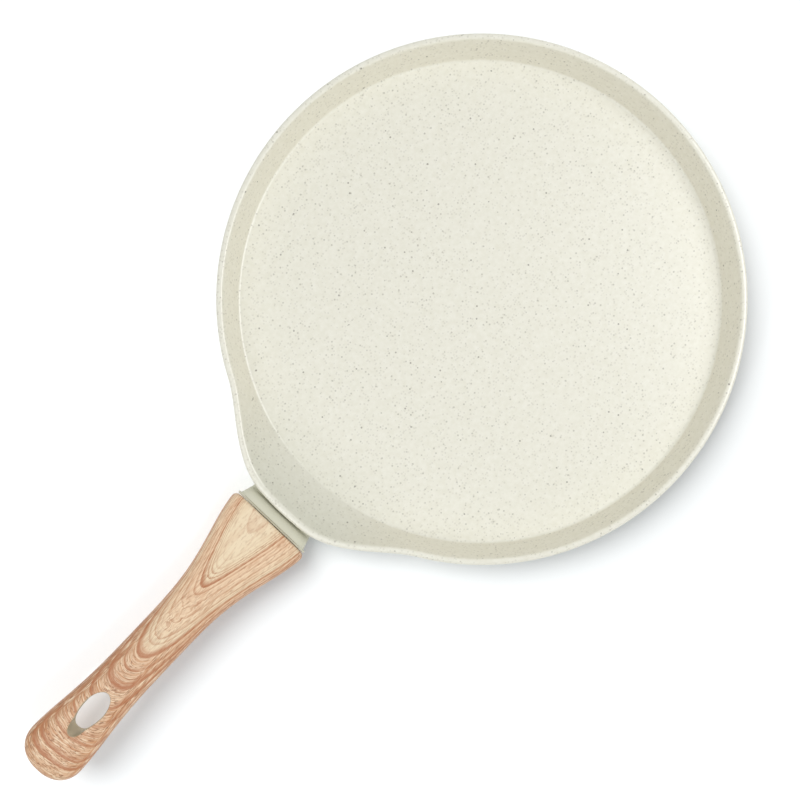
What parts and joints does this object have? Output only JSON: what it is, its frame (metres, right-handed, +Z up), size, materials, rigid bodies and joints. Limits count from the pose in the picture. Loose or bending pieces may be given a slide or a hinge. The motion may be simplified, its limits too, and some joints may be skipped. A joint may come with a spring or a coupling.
{
  "type": "dosa tawa",
  "caption": "Shallow round griddle pan with a rim that necks out to a flame guard and a wood-effect handle with a hanging hole, for cooking dosas and flatbreads.",
  "frame": {"origin": "middle of the base, on the surface the pan stands on", "axes": "+X along the handle, away from the pan; +Z up, out of the pan"},
  "size_m": [0.4768, 0.28, 0.0348],
  "materials": {
    "coated_aluminium": "cream granite-look non-stick coat with fine dark specks, satin",
    "ferritic_steel": "ground in circles",
    "bare_aluminium": "as extruded",
    "painted_aluminium": "smooth cream paint, satin",
    "printed_phenolic": "pale wood-grain print under a satin lacquer",
    "zinc_plated_steel": "bright zinc"
  },
  "bodies": {
    "root": {"pan_body": "coated_aluminium", "induction_disc": "ferritic_steel", "handle_tang": "bare_aluminium", "flame_guard": "painted_aluminium", "handle_grip": "printed_phenolic", "handle_screw": "zinc_plated_steel", "spring_washer": "zinc_plated_steel", "flat_washer": "zinc_plated_steel"}
  },
  "joints": []
}
